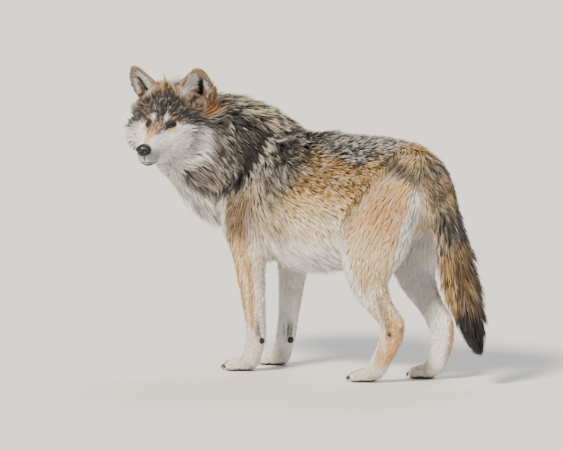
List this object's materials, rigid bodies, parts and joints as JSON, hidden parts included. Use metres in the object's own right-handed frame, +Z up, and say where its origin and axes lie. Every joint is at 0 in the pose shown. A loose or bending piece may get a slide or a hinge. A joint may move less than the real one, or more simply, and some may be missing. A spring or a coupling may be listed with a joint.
{
  "type": "grey wolf",
  "caption": "Life-size grey wolf standing on level ground, head turned back over its left side, ears up, thick grizzled coat and hanging bushy tail.",
  "frame": {"origin": "under the middle of the wolf's box, on the ground its paws rest on", "axes": "+X from tail to chest, +Y to the wolf's left, +Z up"},
  "size_m": [1.0588, 0.4796, 0.8275],
  "materials": {
    "saddle_coat": "matt fur",
    "leg_coat": "matt fur",
    "pale_coat": "matt fur",
    "mane_coat": "matt fur",
    "tail_coat": "matt fur",
    "nose_leather": "moist and finely pebbled",
    "eye": "wet gloss",
    "claw_horn": "dull horn"
  },
  "bodies": {
    "root": {"trunk": "saddle_coat", "neck": "mane_coat", "tail": "tail_coat", "foreleg_left": "leg_coat", "forepaw_left": "pale_coat", "foreclaw_left_1": "claw_horn", "foreclaw_left_2": "claw_horn", "foreclaw_left_3": "claw_horn", "foreclaw_left_4": "claw_horn", "foreleg_right": "leg_coat", "forepaw_right": "pale_coat", "foreclaw_right_1": "claw_horn", "foreclaw_right_2": "claw_horn", "foreclaw_right_3": "claw_horn", "foreclaw_right_4": "claw_horn", "hindleg_left": "leg_coat", "hindpaw_left": "pale_coat", "hindclaw_left_1": "claw_horn", "hindclaw_left_2": "claw_horn", "hindclaw_left_3": "claw_horn", "hindclaw_left_4": "claw_horn", "hindleg_right": "leg_coat", "hindpaw_right": "pale_coat", "hindclaw_right_1": "claw_horn", "hindclaw_right_2": "claw_horn", "hindclaw_right_3": "claw_horn", "hindclaw_right_4": "claw_horn", "head": "pale_coat", "lower_jaw": "pale_coat", "nose": "nose_leather", "eye_left": "eye", "ear_left": "mane_coat", "eye_right": "eye", "ear_right": "mane_coat"}
  },
  "joints": []
}
